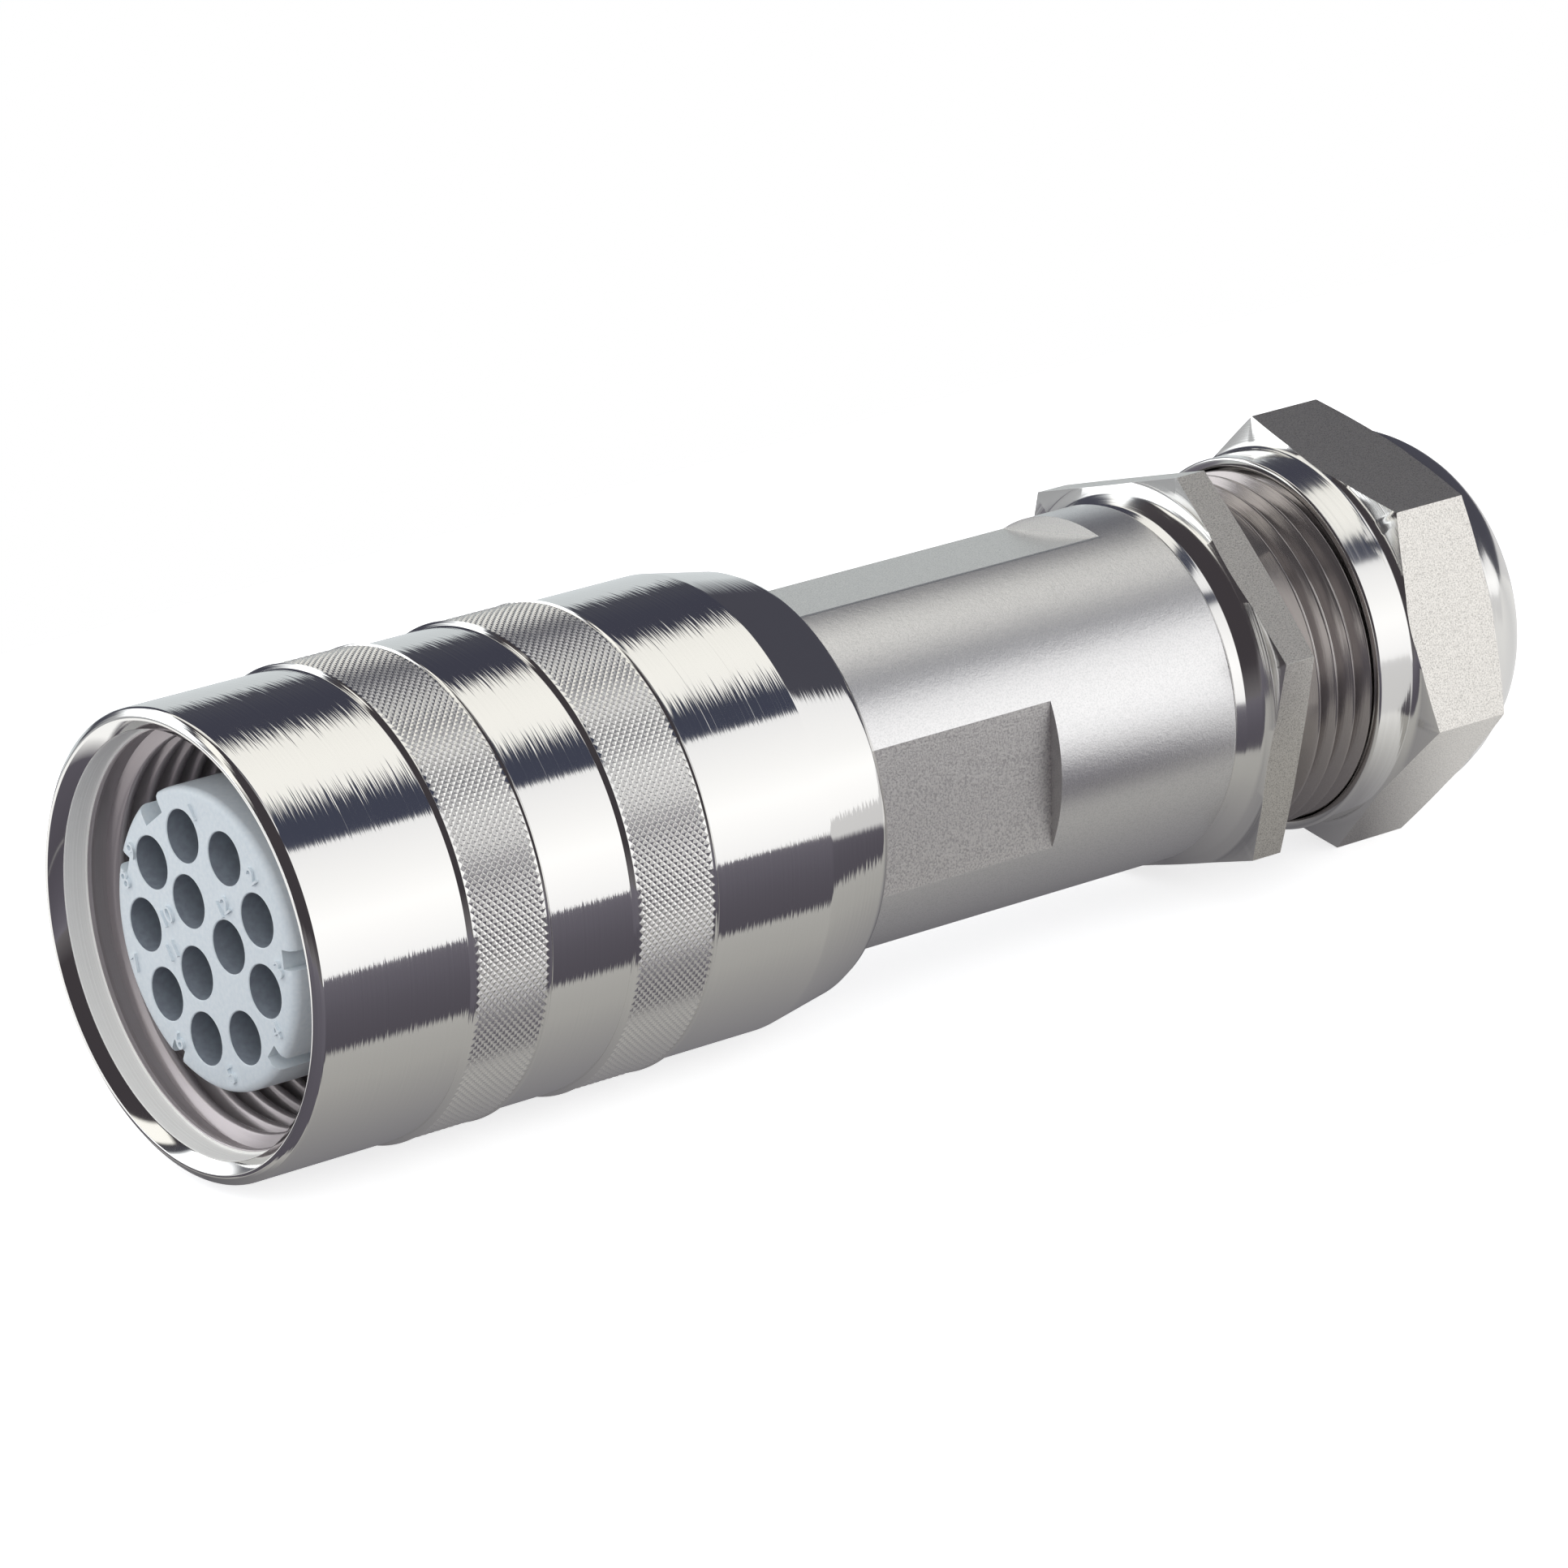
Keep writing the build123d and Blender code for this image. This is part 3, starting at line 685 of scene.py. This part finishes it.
# %% Dome nut
dome = [(90.93, 11.72), (91.82, 11.33), (92.66, 10.84), (93.44, 10.26)]
outline = [
    (80.5, 11.3, 0.1), (80.5, 11.78, 0.05), (80.62, 11.9, 0.05), (83.45, 11.9, 0.45),
    (84.11, 14.2, 0), (89.29, 14.2, 0), (90.0, 12.0, 0.15),
    *((x, r, 0) for x, r in dome),
    (94.15, 9.6, 0.55), (94.15, 7.0, 0.3), (91.95, 7.0, 0), (91.95, 9.86, 0),
    (88.91, 9.86, 0), (88.91, 11.26, 0), (81.0, 11.26, 0),
]
piece(
    "dome_nut_turned", hexagonal(spun(outline), -15), [plated_nickel, bar_flat],
    "dome_nut", "dome_nut",
)

# %% [markdown]
# ## Moulded plastic and rubber
#
# The contact insert is moulded in light grey plastic. The walls deep in its
# contact chambers get a slate grey plastic, which is painted shade in the
# holes; the spacer sleeve is of slate grey plastic too. Moulded plastic is
# never quite even, so one soft noise shifts its tone and dents its skin. Rubber
# is made the same way further on.

# %% Plastics
def moulded(name, tint, roughness, scale, detail, tones, depth=0, strength=0.5):
    """A plastic or rubber, with (place, hex colour) tones and a depth in mm."""
    material, tree, shader, coords = finish(name, Base_Color=colour(tint), Roughness=roughness)
    skin = add(tree, "TexNoise", {"Vector": coords, "Scale": scale, "Detail": detail})
    tone = add(tree, "ValToRGB", {"Fac": skin.outputs["Fac"]})
    set_stops(tone.color_ramp, tones)
    tree.links.new(tone.outputs["Color"], shader.inputs["Base Color"])
    if depth:
        dent(tree, shader, skin.outputs["Fac"], depth, strength)
    return material


insert_plastic = moulded(
    "moulded light grey thermoplastic", "DEE6EB", 0.42, 3500.0, 3.0,
    [(0.3, "D9E2E8"), (0.7, "E3EAEE")], depth=0.006, strength=0.6,
)
# Slate grey plastic: the spacer sleeve's own colour, and painted shade on the walls deep in
# the contact mouths.
slate_plastic_and_hole_shade = moulded(
    "moulded slate grey thermoplastic and painted hole shade", "8C929C", 0.5, 2500.0, 2.0,
    [(0.3, "868C96"), (0.7, "929AA4")],
)
print("made", insert_plastic.name, "and", slate_plastic_and_hole_shade.name)

# %% [markdown]
# ## Where the contacts sit
#
# Nine contacts stand on an outer circle and three on an inner one, evenly
# spaced. A place is a radius and an angle. A keyway is an angle, a width and a
# depth: one is wide and four are narrow, at uneven angles, so that the mate
# goes in only one way.

# %% Contact places
CONTACTS = [(6.1, -15 + 40 * k) for k in range(9)] + [(2.45, -35 + 120 * k) for k in range(3)]
KEYWAYS = [(325, 2.1, 1.35)] + [(angle, 1.15, 1.05) for angle in (290, 205, 130, 84)]
print(len(CONTACTS), "contacts and", len(KEYWAYS), "keyways")

# %% [markdown]
# ## Contact insert
#
# A keyed nose with five keyways and twelve mouths for the contacts. The blank
# is spun, and all of them are taken out in one cut. The mouths have a small
# lead-in, and the faces that lie inside a mouth behind it get the darker
# plastic, which is painted shade deep in the mouths.

# %% Contact insert
FACE_X, NOSE_R, NOSE_END = 1.4, 9.0, 11.1
HOLE_R, LEAD_IN_END = 1.6, 1.6
outline = [
    (FACE_X, 0, 0), (FACE_X, NOSE_R, 0.5), (NOSE_END, NOSE_R, 0), (NOSE_END, 9.2, 0),
    (24.0, 9.2, 0), (24.0, 9.55, 0), (26.0, 9.55, 0), (26.0, 0, 0),
]
cutters = [
    block(0.4, NOSE_END, width, NOSE_R - depth, 10, angle) for angle, width, depth in KEYWAYS
]
mouth = [
    (0.9, 0), (0.9, 2.15), (1.45, HOLE_R), (7.4, HOLE_R), (7.4, 1.4),
    (25.0, 1.4), (25.0, 1.75), (27.0, 1.75), (27.0, 0),
]
for distance, angle in CONTACTS:
    hole = spun([(x, r, 0) for x, r in mouth], steps=40)
    bmesh.ops.translate(hole, vec=about_axis(0, distance, angle), verts=hole.verts[:])
    cutters.append(hole)
bm = carved(spun(outline), cutters)
wells = [about_axis(0, distance, angle).yz for distance, angle in CONTACTS]
# Faces deep in a mouth get the slate plastic: painted shade in the holes.
for face in bm.faces:
    place = face.calc_center_median()
    near = min((place.yz - well).length for well in wells)
    if near < (HOLE_R + 0.02) * MM and place.x > LEAD_IN_END * MM:
        face.material_index = 1
piece(
    "insert_moulding", bm, [insert_plastic, slate_plastic_and_hole_shade],
    "housing", "insert_front",
)

# %% [markdown]
# ## Contact numbers
#
# Each contact has its number beside it, raised by a fifth of a millimetre in
# the same plastic. All of them stand upright towards the wide keyway. The
# text is made at a size of one metre, because small letters lose their
# curves, turned into a mesh, and only then scaled and put in its place on the
# face.

# %% Contact numbers
NUMBERS = {
    "1": (7.6, -2), "2": (7.5, 46.5), "3": (7.6, 89), "4": (7.9, 118), "5": (7.9, 165),
    "6": (7.6, 204.6), "7": (7.9, 246), "8": (7.9, 283), "9": (7.8, 298.6),
    "10": (3.7, 278), "11": (3.6, 246), "12": (3.4, 41.8),
}
UPRIGHT = 325  # the angle of the wide keyway
LETTER_SIZE = 1.5
LETTER_DEPTH = 0.12  # of a letter's size


def number_mesh(text, distance, angle):
    """The mesh of one number, in its place on the insert's face."""
    curve = bpy.data.curves.new("number", "FONT")
    curve.body, curve.extrude = text, LETTER_DEPTH
    curve.align_x, curve.align_y = "CENTER", "CENTER"
    obj = bpy.data.objects.new("number", curve)
    bpy.context.scene.collection.objects.link(obj)
    data = bpy.data.meshes.new_from_object(obj)
    bm = bmesh.new()
    bm.from_mesh(data)
    bpy.data.objects.remove(obj)
    bpy.data.meshes.remove(data)
    right = about_axis(0, 1, UPRIGHT + 90).normalized()
    up = about_axis(0, 1, UPRIGHT).normalized()
    turn = Matrix((right, up, Vector((-1, 0, 0)))).transposed().to_4x4()
    place = Matrix.Translation(about_axis(FACE_X, distance, angle))
    size = Matrix.Scale(LETTER_SIZE * MM, 4)
    bmesh.ops.transform(bm, matrix=place @ turn @ size, verts=bm.verts[:])
    return bm


letters = joined([number_mesh(text, *place) for text, place in NUMBERS.items()])
piece("contact_numbers", letters, [insert_plastic], "housing")

# %% [markdown]
# ## The parts inside
#
# The other parts keep the shape that the CAD model gives them, because they
# are plain turned or pressed forms that are mostly hidden. They get their
# real finishes: gold on the sprung contacts, black nitrile rubber for the
# seals, black polyamide for the clamping cage, steel for clip and washer.

# %% Finishes of the inner parts
contact_gold = turned_metal(
    "gold plate on turned contact brass", "E3C27A", 0.22, 0.15, 0.004,
)
nitrile = moulded(
    "black nitrile rubber", "1E1E20", 0.62, 1800.0, 4.0,
    [(0.3, "19191B"), (0.75, "29292B")], depth=0.01,
)
polyamide = moulded(
    "black moulded polyamide", "232427", 0.45, 3000.0, 2.0,
    [(0.3, "202124"), (0.75, "2B2C30")], depth=0.008,
)
spring_steel = turned_metal("blued spring steel", "8E8F93", 0.3, 0.2, 0.004)

FINISHES = {
    # the front shell gets the darker thread nickel, painted shade
    "front_shell": shaded_thread_nickel,
    "retaining_clip": spring_steel, "thrust_washer": spring_steel,
    "face_seal": nitrile, "shell_o_ring": nitrile,
    "gland_o_ring": nitrile, "gland_seal": nitrile, "clamping_cage": polyamide,
    "insert_rear": insert_plastic, "spacer_sleeve": slate_plastic_and_hole_shade,
}
for name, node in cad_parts.items():
    material = contact_gold if name.startswith("socket_contact") else FINISHES.get(name)
    if material:
        for place in node.material_slots:
            place.material = material
print(len(FINISHES) + len(CONTACTS), "inner parts finished")

# %% [markdown]
# ## Camera
#
# The photograph was taken from the front left, a little above, with a long
# lens from half a metre away. The camera's place and directions were worked
# out from the outlines of the rings in the picture. Its axes are the columns
# of its matrix: right, up, and backwards.

# %% Camera
CAMERA_PLACE = Vector((-239.9115, -372.1665, 151.9627))
camera_data = bpy.data.cameras.new("camera")
camera_data.sensor_width = 36.0
camera_data.lens = 188.67
camera = bpy.data.objects.new("camera", camera_data)
bpy.context.scene.collection.objects.link(camera)
forward = Vector((0.57578, 0.75662, -0.30984)).normalized()
right = Vector((0.78661, -0.61599, -0.04244))
right = (right - forward * right.dot(forward)).normalized()
up = right.cross(forward)
axes = Matrix((right, up, -forward)).transposed().to_4x4()
camera.matrix_world = Matrix.Translation(CAMERA_PLACE * MM) @ axes
bpy.context.scene.camera = camera
bpy.context.scene.view_settings.view_transform = "Standard"
print("camera", [round(c * 1000, 1) for c in camera.location], "mm")

# %% [markdown]
# ## The studio as a world
#
# Polished metal shows nothing but what stands round it. The studio is drawn
# as the world, because everything in it is far away compared with the size of
# the connector. The angle round the X axis decides what a direction meets: 0
# is straight up, and positive angles come to the front. Three regions follow
# one another along X: ahead of the mating rim, abreast of the connector, and
# beyond the cable end.

# %% Directions
world = bpy.data.worlds.new("studio tent")
bpy.context.scene.world = world
world.use_nodes = True
tree = world.node_tree
tree.nodes.clear()
look = add(tree, "TexCoord").outputs["Generated"]
axis = add(tree, "SeparateXYZ", {0: look})
along_x = axis.outputs["X"]
front = calc(tree, "MULTIPLY", axis.outputs["Y"], -1.0)
round_x = calc(tree, "ARCTAN2", front, axis.outputs["Z"])
skew = fade(tree, round_x, radians(24), radians(34), 1.1, 0.0)
offset = calc(tree, "ADD", along_x, -0.55)
drift = calc(tree, "MULTIPLY", skew, offset)
straight = calc(tree, "SUBTRACT", round_x, drift)
skewed_turn = fade(tree, straight, radians(-180), radians(180))
plain_turn = fade(tree, round_x, radians(-180), radians(180))


def at(angle):
    """The place of an angle round X on a ramp."""
    return (angle + 180) / 360


print(f"straight up is at {at(0)} and the front at {at(90)} on a ramp")

# %% [markdown]
# ## Abreast of the connector
#
# The connector lies in a white tent with two dark strips overhead, which give
# the ring its dark bands. They lie a little askew, so their angle drifts with
# x, and for them alone the angle is skewed.

# %% Strips overhead
strips = add(tree, "ValToRGB", {"Fac": skewed_turn})
set_stops(strips.color_ramp, [
    (at(-180), "A0A0A0"), (at(-130), "B4B6B8"), (at(-104), "C2C7C9"), (at(-69.5), "BDC2C5"),
    (at(-66.5), "474850"), (at(-45), "3C3D49"), (at(-25.5), "3B3C48"), (at(-22.5), "E7E6E2"),
    (at(0), "EEEDE9"), (at(16), "ECEBE8"), (at(19), "3D404E"), (at(37.9), "3C3F4E"),
    (at(38.5), "E6E6E8"), (at(60), "F2F2F3"), (at(76), "FCFCFD"), (at(100), "F0F0F2"),
    (at(130), "E8E8EA"), (at(180), "A0A0A0"),
])
print("strips drawn with", len(strips.color_ramp.elements), "stops")

# %% [markdown]
# ## Ahead of the rim
#
# A white sheet hangs at the back, with an off-white card above it. From there
# over the top to the front it is dark, and below that grey. The matte parts,
# such as the insert, are lit evenly from here, by light that stays out of the
# reflections.

# %% Ahead of the rim
ahead = add(tree, "ValToRGB", {"Fac": plain_turn})
set_stops(ahead.color_ramp, [
    (at(-180), "A8AAAC"), (at(-130), "8A8C8E"), (at(-95), "77787A"), (at(-81), "808183"),
    (at(-75), "F2F5F8"), (at(-51), "F2F5F8"), (at(-48.5), "35363C"), (at(-40), "2D2A2D"),
    (at(80), "2D2A2D"), (at(125), "6A686A"), (at(180), "A8AAAC"),
])

# the card above the sheet
card_top = fade(tree, round_x, radians(-25), radians(-28))
card_foot = fade(tree, round_x, radians(-43), radians(-41))
card_side = fade(tree, along_x, -0.42, -0.47)
card = calc(tree, "MULTIPLY", calc(tree, "MULTIPLY", card_foot, card_top), card_side)
with_card = mix(tree, card, ahead.outputs["Color"], colour("C4C3BF"))
bright_ahead = mix(tree, 1.0, with_card, (1.7, 1.7, 1.7, 1), blend_type="MULTIPLY")

# the light that only matte parts get
rays = add(tree, "LightPath")
from_ahead = fade(tree, along_x, 0.1, -0.1)
matte = calc(tree, "MULTIPLY", from_ahead, rays.outputs["Is Diffuse Ray"])
tent_ahead = mix(tree, matte, bright_ahead, (0.88, 0.9, 0.92, 1))
print("ahead of the rim drawn with", len(ahead.color_ramp.elements), "stops")

# %% [markdown]
# ## Beyond the cable end, and the whole studio
#
# Beyond the cable end the tent is dark at the back and the top, and white at
# the front. The three regions fade into one another, and the camera itself
# sees plain white.

# %% World
beyond = fade(tree, along_x, 0.65, 0.7)
far_end = add(tree, "ValToRGB", {"Fac": plain_turn})
set_stops(far_end.color_ramp, [
    (at(-180), "43434C"), (at(22), "43434C"), (at(26), "E6E6E8"), (at(60), "F2F2F3"),
    (at(76), "FCFCFD"), (at(130), "E8E8EA"), (at(180), "A0A0A0"),
])
tent_side = mix(tree, beyond, strips.outputs["Color"], far_end.outputs["Color"])
side = fade(tree, along_x, -0.2, 0.05, interpolation_type="SMOOTHSTEP")
studio = mix(tree, side, tent_ahead, tent_side)
lit = add(tree, "Background", {"Color": studio, "Strength": STUDIO_LIGHT})
white = add(tree, "Background", {"Color": (1, 1, 1, 1), "Strength": 1.0})
either = add(
    tree, "MixShader",
    {0: rays.outputs["Is Camera Ray"], 1: lit.outputs[0], 2: white.outputs[0]},
)
add(tree, "OutputWorld", {"Surface": either.outputs[0]})
print("world made")

# %% [markdown]
# ## The floor
#
# The connector lies on its rear grip band and on a corner of each hexagon, so
# the floor leans by less than a degree against the axis.

# %% Floor
rest_x, rest_z = 27.35, -GRIP_R  # edge of the rear grip band
corner_x, corner_z = 88.0, -HEX_FLAT_R / cos(radians(30)) * cos(radians(15))  # the nut
lean = atan2(corner_z - rest_z, corner_x - rest_x)
bm = bmesh.new()
bmesh.ops.create_grid(bm, x_segments=1, y_segments=1, size=95 * MM)
bmesh.ops.scale(bm, vec=(4.0, 1.0, 1.0), verts=bm.verts[:])
bmesh.ops.rotate(bm, cent=(0, 0, 0), matrix=Matrix.Rotation(-lean, 3, "Y"), verts=bm.verts[:])
bmesh.ops.translate(bm, vec=Vector((rest_x, 0, rest_z)) * MM, verts=bm.verts[:])
floor_mesh = bpy.data.meshes.new("floor")
bm.to_mesh(floor_mesh)
bm.free()
floor = bpy.data.objects.new("floor", floor_mesh)
bpy.context.scene.collection.objects.link(floor)
print(f"floor leans {degrees(lean):.2f} degrees")

# %% [markdown]
# ## Sheet and table
#
# The camera sees a near-white sheet that keeps the soft shadow: part of its
# light is its own, and the rest comes from the studio. Metal sees the sheet as
# a glow of its own, with light and the object's shadow painted in: grey,
# darkest right under the object, and a slate table beyond it, which are what
# gives the lower half of every polished cylinder its grey and its dark band.
# Behind the mouth and round the cable end, where no painted shadow falls, metal
# sees the sheet as white.

# %% Sheet and table
SHEET_GLOW = 0.67  # the light that the sheet has of its own
sheet, tree, shader, coords = finish(
    "pale paper sheet on a slate table", Base_Color=colour("F4F4F4"), Roughness=0.9,
)
spot = add(tree, "SeparateXYZ", {0: coords})
away = calc(tree, "ABSOLUTE", spot.outputs["Y"])
ahead_of_rim = fade(tree, spot.outputs["X"], -1 * MM, -3 * MM, at_end=24 * MM)
off_sheet = calc(tree, "ADD", away, ahead_of_rim)
reach = fade(tree, off_sheet, 0.0, 100 * MM)
behind = fade(tree, spot.outputs["Y"], 14 * MM, 20 * MM)
behind_mouth = calc(tree, "MULTIPLY", behind, ahead_of_rim)
open_front = fade(tree, behind_mouth, 0.0, 24 * MM)
open_rear = fade(tree, spot.outputs["X"], 86 * MM, 94 * MM, at_end=0.6)
open_sheet = calc(tree, "MAXIMUM", open_front, open_rear)
# The grey that brightens away from the object is its painted shadow; the slate stops beyond it
# are the table.
table = add(tree, "ValToRGB", {"Fac": reach})
set_stops(table.color_ramp, [
    (0.0, "5E5D61"), (0.08, "7E7D7F"), (0.17, "9B9A98"), (0.235, "A3A2A0"),
    (0.245, "4C4951"), (0.5, "5A5760"), (1.0, "68656E"),
])
painted_light_seen_by_metal = mix(tree, open_sheet, table.outputs["Color"], colour("F0F0F0"))
# Metal sees this as a glow of its own: painted light and painted shadow, not lit.
painted_sheet_glow = add(tree, "Emission", {"Color": painted_light_seen_by_metal, "Strength": STUDIO_LIGHT})
own = add(tree, "Emission", {"Color": (1, 1, 1, 1), "Strength": SHEET_GLOW})
lit_sheet = add(tree, "AddShader", {0: own.outputs[0], 1: shader.outputs[0]})
seen = add(tree, "LightPath").outputs["Is Camera Ray"]
either = add(tree, "MixShader", {0: seen, 1: painted_sheet_glow.outputs[0], 2: lit_sheet.outputs[0]})
tree.links.new(either.outputs[0], tree.nodes["Material Output"].inputs["Surface"])
floor_mesh.materials.append(sheet)
print("made", sheet.name)
